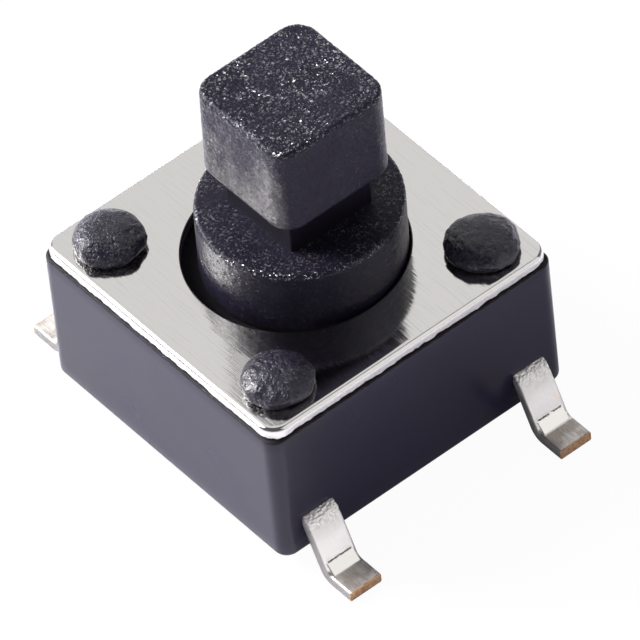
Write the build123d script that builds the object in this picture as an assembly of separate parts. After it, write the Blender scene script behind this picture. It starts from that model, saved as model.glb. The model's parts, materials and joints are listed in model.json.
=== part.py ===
from build123d import *
import math
import os

# Surface-mount tactile push button switch with a square-headed plunger.
# Millimetres, +Z up. The origin is the middle of the footprint, on the board.
# The four legs leave the housing through its two X faces.

# Housing, one black moulding
body_width = 6.0
body_height = 2.75
side_wall = 0.735
board_gap = 0.40
body_corner_radius = 0.25
underside_edge_round = 0.08
pin_hole_radius = 0.30
pin_hole_offset = 1.30

# Stakes, posts of the housing melted over the cover
stake_inset = 0.83
post_radius = 0.45
post_clearance = 0.03
stake_seat_land = 0.08
stake_overhang = 0.10
stake_rim_height = 0.12
stake_shoulder_round = 0.13
stake_shoulder_height = 0.30
stake_height = 0.44

# Cover plate, stamped sheet
cover_setback = 0.027
cover_thickness = 0.24
cover_corner_radius = 0.34
cover_edge_round = 0.10

# Plunger, one black moulding
boss_rise = 1.12
boss_edge_round = 0.07
neck_width = 1.70
neck_height = 0.80
head_width = 2.345
head_height = 1.82
head_top_width = 2.325
head_corner_radius = 0.42
head_top_round = 0.09
head_lower_round = 0.10
flange_thickness = 0.55
flange_hold = 0.175
ear_width = 0.90
ear_length = 0.28
boss_wall = 0.40
core_roof = 0.90
nub_root_radius = 0.80
nub_radius = 0.55
nub_tip_chamfer = 0.10

# Play and travel of the plunger
boss_clearance = 0.165
flange_clearance = 0.03
ear_clearance = 0.08
flange_top_gap = 0.02
nub_gap = 0.01
press_travel = 0.25
press_reserve = 0.10
side_play_share = 0.79
side_play_direction = 55.0

# Snap dome
dome_clearance = 0.08
dome_thickness = 0.07
dome_over_rise = 0.05
dome_rim_land = 0.12
dome_rim_edge = 0.05

# Terminal strips, stamped and bent
strip_thickness = 0.20
strip_width = 0.66
strip_inset = 0.75
strip_bed = 0.57
upper_bend_radius = 0.14
lower_bend_radius = 0.22
leg_exit = 0.04
leg_slope = 25.0
foot_length = 0.615
coin_rise = 0.20
coin_run = 0.09
tongue_width = 0.80
centre_pad_radius = 0.55
centre_contact_radius = 0.35
outer_arm_width = 0.60
outer_arm_overrun = 0.35
outer_contact_radius = 0.20
outer_contact_inset = 0.155
contact_height = 0.07
floor_skin = 0.05

# Levels above the board
body_top = board_gap + body_height
cover_top = body_top + cover_thickness
boss_top = cover_top + boss_rise
neck_top = boss_top + neck_height
head_top = neck_top + head_height
flange_top = body_top - flange_top_gap
flange_bottom = flange_top - flange_thickness
ear_slot_floor = flange_bottom - press_travel - press_reserve
strip_bottom = board_gap + strip_bed
strip_top = strip_bottom + strip_thickness
rail_z = strip_bottom + strip_thickness / 2
foot_z = strip_thickness / 2
floor_level = strip_top + floor_skin
rim_level = strip_top + contact_height
dome_rise = press_travel + dome_over_rise
nub_level = rim_level + dome_rise + dome_thickness + nub_gap

# Radii and places that follow from the fits
recess_radius = body_width / 2 - side_wall
flange_play = boss_clearance + flange_clearance
flange_radius = recess_radius - flange_play
hole_radius = flange_radius - flange_hold
boss_radius = hole_radius - boss_clearance
core_radius = boss_radius - boss_wall
dome_radius = recess_radius - dome_clearance
ear_radius = flange_radius + ear_length
ear_play = boss_clearance + ear_clearance
stake_spacing = body_width - 2 * stake_inset
side_play = side_play_share * boss_clearance
plunger_x = side_play * math.cos(math.radians(side_play_direction))
plunger_y = side_play * math.sin(math.radians(side_play_direction))
stake_seat_radius = post_radius + stake_seat_land
stake_radius = stake_seat_radius + stake_overhang
strip_y = body_width / 2 - strip_inset
leg_angle = math.radians(leg_slope)
shoulder_x = body_width / 2 + leg_exit
heel_x = shoulder_x + (rail_z - foot_z) * math.tan(leg_angle)
foot_tip = heel_x + foot_length
outer_contact_x = dome_radius - outer_contact_inset


def disc(radius, bottom, top):
    """A round disc about the vertical axis, between two levels."""
    return Pos(0, 0, bottom) * extrude(Circle(radius), top - bottom)


def block(size_x, size_y, bottom, top):
    """A square-cornered block about the vertical axis, between two levels."""
    return Pos(0, 0, bottom) * extrude(Rectangle(size_x, size_y), top - bottom)


def edges_at(solid, level):
    """The edges of a solid that lie flat at one level."""
    return solid.edges().filter_by_position(Axis.Z, level, level)


def stake_places():
    """The four corners where the cover is staked to the housing."""
    return GridLocations(stake_spacing, stake_spacing, 2, 2)


def make_stake():
    """One post with its melted head: a lip that flares off the cover, a round side and a low crown."""
    seat = (stake_seat_radius, cover_top)
    rim = (stake_radius, cover_top + stake_rim_height)
    shoulder = (stake_radius - stake_shoulder_round, cover_top + stake_shoulder_height)
    crown = (0, cover_top + stake_height)
    inside = Polyline(crown, (0, body_top), (post_radius, body_top), (post_radius, cover_top), seat)
    lip = Line(seat, rim)
    top = TangentArc(crown, shoulder, tangent=(1, 0))
    side = TangentArc(shoulder, rim, tangent=top % 1)
    return revolve(Plane.XZ * make_face([inside, lip, top, side]), Axis.Z)


def make_housing(terminals):
    """The moulding: a block with a round recess, ear slots, stakes and its moulded-in strips."""
    block_outline = RectangleRounded(body_width, body_width, body_corner_radius)
    housing = Pos(0, 0, board_gap) * extrude(block_outline, body_height)
    housing = fillet(edges_at(housing, board_gap), underside_edge_round)
    housing -= disc(recess_radius, floor_level, body_top)
    slot_reach = ear_radius + ear_play
    housing -= block(ear_width + 2 * ear_play, 2 * slot_reach, ear_slot_floor, body_top)
    housing += [place * make_stake() for place in stake_places()]
    for place in GridLocations(2 * pin_hole_offset, 2 * strip_y, 2, 2):
        housing -= place * disc(pin_hole_radius, board_gap, strip_bottom)
    for terminal in terminals:
        housing -= terminal
    return housing


def make_cover():
    """The flat cover with the plunger's hole and a hole for each stake."""
    width = body_width - 2 * cover_setback
    outline = RectangleRounded(width, width, cover_corner_radius)
    plate = Pos(0, 0, body_top) * extrude(outline, cover_thickness)
    plate = fillet(edges_at(plate, cover_top), cover_edge_round)
    plate -= disc(hole_radius, body_top, cover_top)
    for place in stake_places():
        plate -= place * disc(post_radius + post_clearance, body_top, cover_top)
    return plate


def make_head():
    """The square head, a little narrower at its top, with rounded corners."""
    foot = Pos(0, 0, neck_top) * RectangleRounded(head_width, head_width, head_corner_radius)
    crown = Pos(0, 0, head_top) * RectangleRounded(head_top_width, head_top_width, head_corner_radius)
    head = fillet(edges_at(loft([foot, crown]), head_top), head_top_round)
    return fillet(edges_at(head, neck_top), head_lower_round)


def make_boss():
    """The round boss with its flange and ears, cored out around the nub that presses the dome."""
    boss = fillet(edges_at(disc(boss_radius, flange_bottom, boss_top), boss_top), boss_edge_round)
    boss += disc(flange_radius, flange_bottom, flange_top)
    boss += block(ear_width, 2 * ear_radius, flange_bottom, flange_top)
    core_top = boss_top - core_roof
    boss -= disc(core_radius, flange_bottom, core_top)
    boss += disc(nub_root_radius, flange_bottom, core_top)
    nub = chamfer(edges_at(disc(nub_radius, nub_level, flange_bottom), nub_level), nub_tip_chamfer)
    return boss + nub


def make_plunger():
    """The whole plunger, resting to one side within its play, as the switch in use does."""
    neck = block(neck_width, neck_width, boss_top, neck_top)
    return Pos(plunger_x, plunger_y, 0) * (make_boss() + neck + make_head())


def make_dome():
    """The sprung metal disc: a shallow crown on a narrow flat rim."""
    land = dome_radius - dome_rim_land
    crown_top = rim_level + dome_rise + dome_thickness
    crown_under = rim_level + dome_rise
    edge_top = rim_level + dome_rim_edge
    bottom = [(land, rim_level), (dome_radius, rim_level), (dome_radius, edge_top)]
    sides = [Polyline(*bottom), Line((0, crown_under), (0, crown_top))]
    upper = TangentArc((0, crown_top), (dome_radius, edge_top), tangent=(1, 0))
    lower = TangentArc((0, crown_under), (land, rim_level), tangent=(1, 0))
    return revolve(Plane.XZ * make_face([*sides, upper, lower]), Axis.Z)


def leg_profile():
    """Side view of a strip: a rail through the housing with a gull-wing leg at each end."""
    half = [(shoulder_x, rail_z), (heel_x, foot_z), (foot_tip, foot_z)]
    other_half = [(-x, z) for x, z in reversed(half)]
    bends = [lower_bend_radius, upper_bend_radius, upper_bend_radius, lower_bend_radius]
    return trace(FilletPolyline(*other_half, *half, radius=bends), line_width=strip_thickness)


def coined_corner():
    """The slanted face that the bending tool leaves between the leg and the foot."""
    # the outer face of the leg would meet the top of the foot at this corner
    corner_x = heel_x + foot_z * math.tan(math.pi / 4 - leg_angle / 2)
    crease_x = corner_x - coin_rise * math.sin(leg_angle)
    crease_z = strip_thickness + coin_rise * math.cos(leg_angle)
    root_x = corner_x - foot_z / 2
    corners = [(crease_x, crease_z), (root_x, foot_z), (corner_x + coin_run, strip_thickness)]
    return make_face(Polyline(*corners, close=True))


def strip_with_legs(side):
    """One strip with its two feet; side is +1 or -1 along Y."""
    coin = coined_corner()
    outline = leg_profile() + coin + mirror(coin, Plane.YZ)
    strip = extrude(Plane.XZ * outline, strip_width / 2, both=True)
    return Pos(0, side * strip_y, 0) * strip


def arm(x, width, y_start, y_end):
    """A flat arm of a strip, in the plane of its rail."""
    plate = extrude(Rectangle(width, abs(y_end - y_start)), strip_thickness)
    return Pos(x, (y_start + y_end) / 2, strip_bottom) * plate


def make_centre_terminal():
    """The strip that carries the middle contact on a tongue."""
    terminal = strip_with_legs(1) + arm(0, tongue_width, strip_y, 0)
    terminal += disc(centre_pad_radius, strip_bottom, strip_top)
    return terminal + disc(centre_contact_radius, strip_bottom, rim_level + dome_over_rise)


def make_rim_terminal():
    """The strip whose two raised contacts carry the rim of the snap dome."""
    terminal = strip_with_legs(-1)
    for x in (-outer_contact_x, outer_contact_x):
        terminal += arm(x, outer_arm_width, -strip_y, outer_arm_overrun)
        terminal += Pos(x, 0, 0) * disc(outer_contact_radius, strip_bottom, rim_level)
    return terminal


def main():
    """Builds every piece and writes it to a file of its own."""
    centre_terminal = make_centre_terminal()
    rim_terminal = make_rim_terminal()
    pieces = {
        "housing": make_housing([centre_terminal, rim_terminal]),
        "cover_plate": make_cover(),
        "plunger": make_plunger(),
        "snap_dome": make_dome(),
        "centre_terminal": centre_terminal,
        "rim_terminal": rim_terminal,
    }
    os.makedirs("parts", exist_ok=True)
    for name, piece in pieces.items():
        export_step(piece, f"parts/{name}.step")
        print(name, round(piece.volume, 4), "mm3")


main()
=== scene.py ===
"""Looks of a surface-mount tactile push button switch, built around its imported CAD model.

Every piece is modelled in millimetres about the part's own origin, which is the middle of the
footprint on the board with +Z up, and is scaled to metres when it is handed to its body.
"""

from __future__ import annotations

import json
import logging
import math
from dataclasses import dataclass
from enum import Enum
from typing import Callable, Sequence

import bmesh
import bpy
import numpy as np
from mathutils import Matrix, Vector
from mathutils.geometry import delaunay_2d_cdt

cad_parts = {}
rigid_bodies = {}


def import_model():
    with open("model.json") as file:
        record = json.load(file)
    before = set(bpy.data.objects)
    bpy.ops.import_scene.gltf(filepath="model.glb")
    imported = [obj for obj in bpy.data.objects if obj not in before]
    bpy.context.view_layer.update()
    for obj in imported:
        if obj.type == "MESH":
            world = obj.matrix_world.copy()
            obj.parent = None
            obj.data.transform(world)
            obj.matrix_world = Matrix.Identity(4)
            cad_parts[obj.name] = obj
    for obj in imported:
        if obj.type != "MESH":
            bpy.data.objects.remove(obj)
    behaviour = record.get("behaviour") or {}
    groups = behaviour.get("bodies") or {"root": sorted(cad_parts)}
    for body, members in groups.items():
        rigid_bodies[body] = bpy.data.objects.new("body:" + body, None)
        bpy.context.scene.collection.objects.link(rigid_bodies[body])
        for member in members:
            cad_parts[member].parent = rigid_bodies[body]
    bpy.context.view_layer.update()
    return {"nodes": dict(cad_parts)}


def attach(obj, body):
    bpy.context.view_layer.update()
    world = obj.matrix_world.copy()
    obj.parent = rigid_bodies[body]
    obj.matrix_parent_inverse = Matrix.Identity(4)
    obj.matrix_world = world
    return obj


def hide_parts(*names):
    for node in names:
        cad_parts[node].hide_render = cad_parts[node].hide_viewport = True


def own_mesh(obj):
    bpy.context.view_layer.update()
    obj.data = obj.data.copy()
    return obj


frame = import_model()

LOG = logging.getLogger("tactile_switch")
MM = 0.001
# corners closer than this, in millimetres, are one
MERGE = 1e-5
GRAIN = "grain"
Colour = tuple[float, float, float, float]
Point = tuple[float, float, float]
Settings = dict[str, object]
Inputs = dict[str | int, object]
# near-black painted shade: for the plunger in the cover's hole and on its neck under the head, and
# for the housing's top edge under the cover
SHADE_BLACK: Colour = (0.004, 0.003, 0.004, 1.0)
WHITE: Colour = (1.0, 1.0, 1.0, 1.0)


class Axis(Enum):
    """A direction of the part's frame."""

    X = 0
    Y = 1
    Z = 2


class Wire:
    """A socket of a node tree whose arithmetic adds Math nodes."""

    def __init__(self, board: "Board", socket: bpy.types.NodeSocket) -> None:
        """Keeps the tree that the socket belongs to."""
        self.board = board
        self.socket = socket

    def __add__(self, other: "Wire | float") -> "Wire":
        """Sum."""
        return self.board.math("ADD", self, other)

    def __radd__(self, other: float) -> "Wire":
        """Sum with a number in front."""
        return self.board.math("ADD", other, self)

    def __sub__(self, other: "Wire | float") -> "Wire":
        """Difference."""
        return self.board.math("SUBTRACT", self, other)

    def __rsub__(self, other: float) -> "Wire":
        """Difference with a number in front."""
        return self.board.math("SUBTRACT", other, self)

    def __mul__(self, other: "Wire | float") -> "Wire":
        """Product."""
        return self.board.math("MULTIPLY", self, other)

    def __rmul__(self, other: float) -> "Wire":
        """Product with a number in front."""
        return self.board.math("MULTIPLY", other, self)

    def __truediv__(self, other: "Wire | float") -> "Wire":
        """Quotient."""
        return self.board.math("DIVIDE", self, other)

    def __rtruediv__(self, other: float) -> "Wire":
        """Quotient with a number in front."""
        return self.board.math("DIVIDE", other, self)

    def __abs__(self) -> "Wire":
        """Size without its sign."""
        return self.board.math("ABSOLUTE", self)

    def power(self, exponent: float) -> "Wire":
        """The value raised to a fixed power."""
        return self.board.math("POWER", self, exponent)

    def step(self, low: float, high: float) -> "Wire":
        """A soft step from 0 at low to 1 at high, or down again when high is below low.

        Args:
            low: The value that gives 0.
            high: The value that gives 1.

        Returns:
            The stepped value.
        """
        settings = {"interpolation_type": "SMOOTHSTEP"}
        if low < high:
            values = {0: self, 1: low, 2: high}
            return self.board.wire("ShaderNodeMapRange", settings, values)
        values = {0: self, 1: high, 2: low, 3: 1.0, 4: 0.0}
        return self.board.wire("ShaderNodeMapRange", settings, values)


class Board:
    """One node tree, and the ways in which its nodes are made."""

    # a facet whose random lean is longer than this is steep; the rest keep a small share of theirs
    steep_from = 0.62
    steep_full = 0.69
    level_lean = 0.12

    def __init__(self, tree: bpy.types.NodeTree) -> None:
        """Keeps the tree."""
        self.tree = tree

    @classmethod
    def emptied(cls, owner: bpy.types.Material | bpy.types.World) -> "Board":
        """Clears the node tree of a material or a world.

        Args:
            owner: The material or the world.

        Returns:
            Its board, with nothing on it yet.
        """
        owner.use_nodes = True
        owner.node_tree.nodes.clear()
        return cls(owner.node_tree)

    def node(
        self, kind: str, settings: Settings | None = None, values: Inputs | None = None
    ) -> bpy.types.Node:
        """Adds a node.

        Args:
            kind: Blender's name of the node's type.
            settings: Properties of the node, set first.
            values: A number, colour, data-block or Wire for each named or numbered input.

        Returns:
            The new node.
        """
        made = self.tree.nodes.new(kind)
        for name, value in (settings or {}).items():
            setattr(made, name, value)
        for key, value in (values or {}).items():
            self.feed(made.inputs[key], value)
        return made

    def wire(
        self,
        kind: str,
        settings: Settings | None = None,
        values: Inputs | None = None,
        output: str | int = 0,
    ) -> Wire:
        """Adds a node and gives one of its outputs.

        Args:
            kind: Blender's name of the node's type.
            settings: Properties of the node.
            values: What each input is fed.
            output: The name or number of the output.

        Returns:
            The output as a Wire.
        """
        return Wire(self, self.node(kind, settings, values).outputs[output])

    def feed(self, socket: bpy.types.NodeSocket, value: object) -> None:
        """Links a Wire to an input, or sets the input's own value.

        Args:
            socket: The input.
            value: A Wire, or a plain value.
        """
        if isinstance(value, Wire):
            self.tree.links.new(value.socket, socket)
        else:
            socket.default_value = value

    def math(self, operation: str, *terms: Wire | float) -> Wire:
        """Adds a Math node with up to three terms."""
        return self.wire("ShaderNodeMath", {"operation": operation}, dict(enumerate(terms)))

    def vector(self, operation: str, first: Wire, second: Wire | Sequence[float]) -> Wire:
        """Adds a Vector Math node with two vectors."""
        return self.wire("ShaderNodeVectorMath", {"operation": operation}, {0: first, 1: second})

    def scaled(self, vector: Wire, factor: Wire | float) -> Wire:
        """A vector times a number."""
        values = {0: vector, "Scale": factor}
        return self.wire("ShaderNodeVectorMath", {"operation": "SCALE"}, values)

    def stretched(self, place: Wire, factors: Sequence[float]) -> Wire:
        """A point with each coordinate times a factor; a small one draws a pattern out."""
        return self.vector("MULTIPLY", place, factors)

    def along(self, place: Wire, axis: Axis) -> Wire:
        """One coordinate of a point."""
        return self.wire("ShaderNodeSeparateXYZ", None, {0: place}, axis.value)

    def mix(self, factor: Wire | float, first: Wire | Colour, second: Wire | Colour) -> Wire:
        """The colour that goes from the first to the second as the factor goes from 0 to 1."""
        values = {0: factor, 6: first, 7: second}
        return self.wire("ShaderNodeMix", {"data_type": "RGBA"}, values, 2)

    def noise(
        self,
        place: Wire,
        scale: float,
        detail: float = 2.0,
        seed: Wire | float = 0.0,
        output: str | int = 0,
    ) -> Wire:
        """Soft noise about one half.

        Args:
            place: Where it is read, in millimetres.
            scale: Cells per millimetre.
            detail: How many finer layers are added.
            seed: Shifts the pattern.
            output: The noise's own output, or "Color" for three noises at once.

        Returns:
            The noise.
        """
        values = {"Vector": place, "W": seed, "Scale": scale, "Detail": detail}
        return self.wire("ShaderNodeTexNoise", {"noise_dimensions": "4D"}, values, output)

    def cells(self, place: Wire, scale: float) -> Wire:
        """Distance to the nearest of scattered points, in cells."""
        return self.wire("ShaderNodeTexVoronoi", None, {"Vector": place, "Scale": scale})

    def facets(self, place: Wire, size: float) -> tuple[Wire, Wire]:
        """A surface broken into small facets, most nearly level and a few steep.

        Args:
            place: Where it is read, in millimetres.
            size: The facets' width in millimetres.

        Returns:
            The height in millimetres for a lean of 1, and 1 where a facet is steep.
        """
        cell = self.node("ShaderNodeTexVoronoi", None, {"Vector": place, "Scale": 1 / size})
        lean = self.vector("SUBTRACT", Wire(self, cell.outputs["Color"]), (0.5, 0.5, 0.5))
        length = self.wire("ShaderNodeVectorMath", {"operation": "LENGTH"}, {0: lean}, "Value")
        steep = length.step(self.steep_from, self.steep_full)
        lean = self.scaled(lean, steep * (1 - self.level_lean) + self.level_lean)
        away = self.vector("SUBTRACT", place, Wire(self, cell.outputs["Position"]))
        dot = {"operation": "DOT_PRODUCT"}
        return self.wire("ShaderNodeVectorMath", dot, {0: away, 1: lean}, "Value"), steep


def paler(colour: Colour, factor: float, lift: float = 0.0) -> Colour:
    """A lighter tone of a dark colour: times a factor, plus a little grey."""
    red, green, blue = (part * factor + lift for part in colour[:3])
    return red, green, blue, 1.0


@dataclass(frozen=True)
class Finish:
    """What every finish shares: a name, a base colour, a roughness and a way to paint."""

    name: str
    colour: Colour
    roughness: float

    def material(self) -> bpy.types.Material:
        """Gives the finish's material, painted the first time it is asked for.

        Returns:
            The material.
        """
        known = bpy.data.materials.get(self.name)
        if known:
            return known
        made = bpy.data.materials.new(self.name)
        board = Board.emptied(made)
        made.diffuse_color = self.colour
        shader = self.paint(board, self.place(board))
        board.node("ShaderNodeOutputMaterial", None, {"Surface": shader})
        return made

    def place(self, board: Board) -> Wire:
        """The point on the piece, in millimetres."""
        return board.scaled(board.wire("ShaderNodeTexCoord", None, None, "Object"), 1 / MM)

    def paint(self, board: Board, place: Wire) -> Wire:
        """Builds the shader; every finish has its own."""
        raise NotImplementedError

    @staticmethod
    def bump(board: Board, height: Wire) -> Wire:
        """The surface's normal after a relief whose height is in millimetres."""
        values = {"Strength": 1.0, "Distance": MM, "Height": height}
        return board.wire("ShaderNodeBump", None, values)

    @staticmethod
    def surface(board: Board, values: Inputs) -> Wire:
        """A Principled shader with the given inputs."""
        return board.wire("ShaderNodeBsdfPrincipled", None, values)


@dataclass(frozen=True)
class SparkErodedPlastic(Finish):
    """Black moulded plastic that copied the rough, spark-eroded wall of its mould.

    Its steep facets catch the light as flecks. Above the neck the head's sides are painted paler,
    a painted sheen, and the side that faces the lamps, towards -Y, also gets pale patches that
    grow towards its foot, a painted reflection of the cover, and bright painted glints. In the
    cover's hole the plastic is painted near-black, and the neck under the head is painted darker,
    both as painted shade.
    """

    facet_size: float = 0.038
    facet_lean: float = 1.0
    dust: float = 0.0
    fold_depth: float = 0.0
    bump_height: float = 0.0
    blob_height: float = 0.030
    fine_height: float = 0.0012
    sparkle: float = 1.0
    gloss: float = 0.14
    # below this level, in the cover's hole, the plastic is painted near-black as painted shade
    shade_below: float = 3.36
    # above this level the head's sides are painted paler, a painted sheen
    sheen_above: float = 5.32
    # beyond this, towards -Y, lies the side that faces the lamps, which gets painted light
    lit_side_beyond: float = -0.86
    # on that side the painted reflection of the cover grows from paler_below down to palest_below
    palest_below: float = 5.5
    paler_below: float = 6.9
    fleck: Colour = (0.33, 0.325, 0.345, 1.0)
    dusty: Colour = (0.16, 0.155, 0.165, 1.0)
    # painted light: a paler painted sheen on the head's sides
    painted_sheen: Colour = (0.019, 0.0162, 0.030, 1.0)
    # painted light on the side that faces the lamps: a painted reflection of the cover, and bright
    # painted glints
    painted_reflection: Colour = (0.085, 0.081, 0.086, 1.0)
    painted_glints: Colour = (0.15, 0.145, 0.15, 1.0)

    def lumps(self, board: Board, place: Wire, lit_side: Wire) -> Wire:
        """The broad part of the relief: folds, melted bumps, and blobs on the side that faces the
        lamps.

        Args:
            board: The tree.
            place: The point on the piece, in millimetres.
            lit_side: 1 on the side that faces the lamps.

        Returns:
            The height in millimetres.
        """
        ridge = abs(board.noise(place, 9.0, detail=3.0, seed=5.5) - 0.5)
        folds = ridge.step(0.05, 0.0) * self.fold_depth
        blobs = board.noise(place, 5.5, detail=3.0, seed=6.4) * lit_side * self.blob_height
        bumps = board.noise(place, 14.0, detail=2.0, seed=6.9) * self.bump_height
        return blobs - folds + bumps

    def tone(self, board: Board, place: Wire, cloud: Wire, side: Wire, lit_side: Wire) -> Wire:
        """The plastic's colour: clouded, with a painted sheen on the head's sides, and a painted
        reflection of the cover and painted glints on the side that faces the lamps.

        Args:
            board: The tree.
            place: The point on the piece, in millimetres.
            cloud: A broad noise.
            side: 1 on the head's sides, which are painted paler, a painted sheen.
            lit_side: 1 on the side that faces the lamps, which gets a painted reflection and
                painted glints.

        Returns:
            The colour.
        """
        tone = board.mix(cloud.step(0.35, 0.7), self.colour, paler(self.colour, 1.5, 0.003))
        # painted sheen: the head's sides are painted paler, most on the side that faces the lamps
        tone = board.mix(side * (cloud + 0.3 + lit_side), tone, self.painted_sheen)
        # painted reflection of the cover: pale patches on the side that faces the lamps, growing
        # towards its foot
        lower = board.along(place, Axis.Z).step(self.paler_below, self.palest_below)
        patches = board.noise(place, 2.6, detail=3.0, seed=3.9) + lower * 0.35
        patches = patches.step(0.52, 0.88) * lit_side
        tone = board.mix(patches * 0.85, tone, self.painted_reflection)
        # bright painted glints on that side, strongest within the painted reflection
        glint_marks = board.noise(place, 17.0, detail=2.0, seed=8.1).step(0.50, 0.64) * lit_side
        return board.mix(glint_marks * (patches * 0.5 + 0.25), tone, self.painted_glints)

    def paint(self, board: Board, place: Wire) -> Wire:
        """Builds the shader; the facets lean as far as the piece's grain attribute says.

        Args:
            board: The tree.
            place: The point on the piece, in millimetres.

        Returns:
            The shader.
        """
        grain = board.wire("ShaderNodeAttribute", {"attribute_name": GRAIN}, None, "Fac")
        cloud = board.noise(place, 1.1, detail=3.0, seed=4.2)
        fine = board.noise(place, 2.2 / self.facet_size, detail=2.0, seed=1.7)
        coarse, polished = board.facets(place, self.facet_size)
        small, bright = board.facets(place, self.facet_size * 0.5)
        up = board.along(place, Axis.Z)
        # the head's sides, which get a painted sheen, and among them the side that faces the lamps
        side = up.step(self.sheen_above, self.sheen_above + 0.03) * grain.step(0.9, 0.7)
        lit_side = board.along(place, Axis.Y).step(self.lit_side_beyond, self.lit_side_beyond - 0.12) * side
        # painted shade: near-black below a level in the cover's hole
        hole_shade = up.step(self.shade_below, self.shade_below - 0.16)
        # painted shade: the smooth skin of the neck, under the head, is painted darker
        smooth_skin_shade = grain.step(0.25, 0.10)

        lean = grain * (cloud + 0.5) * (lit_side * 1.5 + 1) * self.facet_lean
        height = (coarse + small * 0.9) * lean + fine * self.fine_height
        height = height + self.lumps(board, place, lit_side)

        crowd = board.noise(place, 2.4, detail=3.0, seed=7.7).step(0.36, 0.62)
        fleck = 1 - (1 - polished) * (1 - bright)
        fleck = fleck * grain.step(0.4, 0.9) * (crowd * 0.7 + 0.15)
        fleck = fleck * (1 - side * 0.7 + lit_side * 1.2) * self.sparkle

        specks = board.noise(place, 9.0, detail=2.0, seed=8.8).step(0.66, 0.74) * self.dust
        tone = board.mix(specks, self.tone(board, place, cloud, side, lit_side), self.dusty)
        tone = board.mix(fleck, tone, self.fleck)
        # painted shade: near-black in the cover's hole, and darker on the neck under the head
        tone = board.mix(hole_shade * 0.8 + smooth_skin_shade * (1 - hole_shade) * 0.6, tone, SHADE_BLACK)
        rough = self.roughness + (cloud - 0.5) * 0.12 + (fine - 0.5) * 0.08 + hole_shade * 0.5
        values = {
            "Base Color": tone,
            "Metallic": fleck * (1 - hole_shade),
            "Roughness": rough * (1 - fleck * 0.25),
            "Specular IOR Level": self.gloss,
            "Normal": self.bump(board, height),
        }
        return self.surface(board, values)


@dataclass(frozen=True)
class MouldedPlastic(Finish):
    """Dark moulded plastic: a satin wall with small pits, painted darker as painted shade, and
    specks, and a black painted shade line along its top edge under the cover.
    """

    # the level of the black painted shade line along the top edge, under the cover, and how far it
    # wavers
    shade_line: float = 3.135
    shade_line_waver: float = 0.09
    swell_height: float = 0.005
    pit_depth: float = 0.006
    index: float = 1.41
    speck: Colour = (0.35, 0.34, 0.35, 1.0)
    # painted shade in the pits
    pit_shade: Colour = (0.004, 0.004, 0.005, 1.0)

    def paint(self, board: Board, place: Wire) -> Wire:
        """Builds the shader.

        Args:
            board: The tree.
            place: The point on the piece, in millimetres.

        Returns:
            The shader.
        """
        cloud = board.noise(place, 0.8, detail=2.0, seed=2.1)
        pits = board.cells(place, 3.4).step(0.06, 0.03)
        specks = board.noise(place, 19.0, detail=1.0, seed=4.4).step(0.79, 0.83)
        waver = (board.noise(place, 13.0, detail=3.0, seed=6.6) - 0.5) * self.shade_line_waver
        # painted shade: a black line along the top edge, in the gap under the cover
        shade_line = (board.along(place, Axis.Z) + waver).step(self.shade_line - 0.02, self.shade_line)
        tone = board.mix(cloud.step(0.3, 0.72), self.colour, paler(self.colour, 1.4))
        tone = board.mix(specks * 0.6, tone, self.speck)
        # the pits are painted darker as painted shade
        tone = board.mix(pits * 0.8, tone, self.pit_shade)
        values = {
            "Base Color": board.mix(shade_line, tone, SHADE_BLACK),
            "Roughness": self.roughness + (cloud - 0.5) * 0.14 + shade_line * 0.5,
            "IOR": self.index,
            "Normal": self.bump(board, cloud * self.swell_height - pits * self.pit_depth),
        }
        return self.surface(board, values)


@dataclass(frozen=True)
class BrushedSheet(Finish):
    """Bright sheet metal with brush lines along one axis, and a sheared, streaky edge."""

    lines: Axis = Axis.X
    top: float = 3.39
    line_depth: float = 0.0024
    shear_depth: float = 0.006
    swell_height: float = 0.004
    sheared: Colour = (0.78, 0.755, 0.765, 1.0)
    lined: Colour = (0.50, 0.49, 0.47, 1.0)
    streaked: Colour = (0.42, 0.37, 0.38, 1.0)

    def paint(self, board: Board, place: Wire) -> Wire:
        """Builds the shader.

        Args:
            board: The tree.
            place: The point on the piece, in millimetres.

        Returns:
            The shader.
        """
        factors = [0.03 if axis is self.lines else 1.0 for axis in Axis]
        drawn_out = board.stretched(place, factors)
        hair = board.noise(drawn_out, 46.0, detail=2.0, seed=0.9)
        groove = board.noise(drawn_out, 15.0, detail=3.0, seed=3.3)
        swell = board.noise(place, 0.9, detail=1.0, seed=6.1)
        shear = board.noise(board.stretched(place, (1.0, 1.0, 0.06)), 24.0, detail=3.0, seed=2.2)
        side = board.along(place, Axis.Z).step(self.top - 0.075, self.top - 0.11)
        brushed = hair * (self.line_depth * 0.3) + groove * self.line_depth
        height = brushed * (1 - side) + shear * side * self.shear_depth + swell * self.swell_height
        tone = board.mix(side, self.colour, self.sheared)
        tone = board.mix(hair.step(0.50, 0.72) * 0.22, tone, self.lined)
        values = {
            "Base Color": board.mix(shear.step(0.56, 0.66) * side * 0.25, tone, self.streaked),
            "Metallic": 1.0,
            "Roughness": self.roughness + hair.step(0.50, 0.80) * 0.12 + side * 0.26,
            "Normal": self.bump(board, height),
        }
        return self.surface(board, values)


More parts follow.
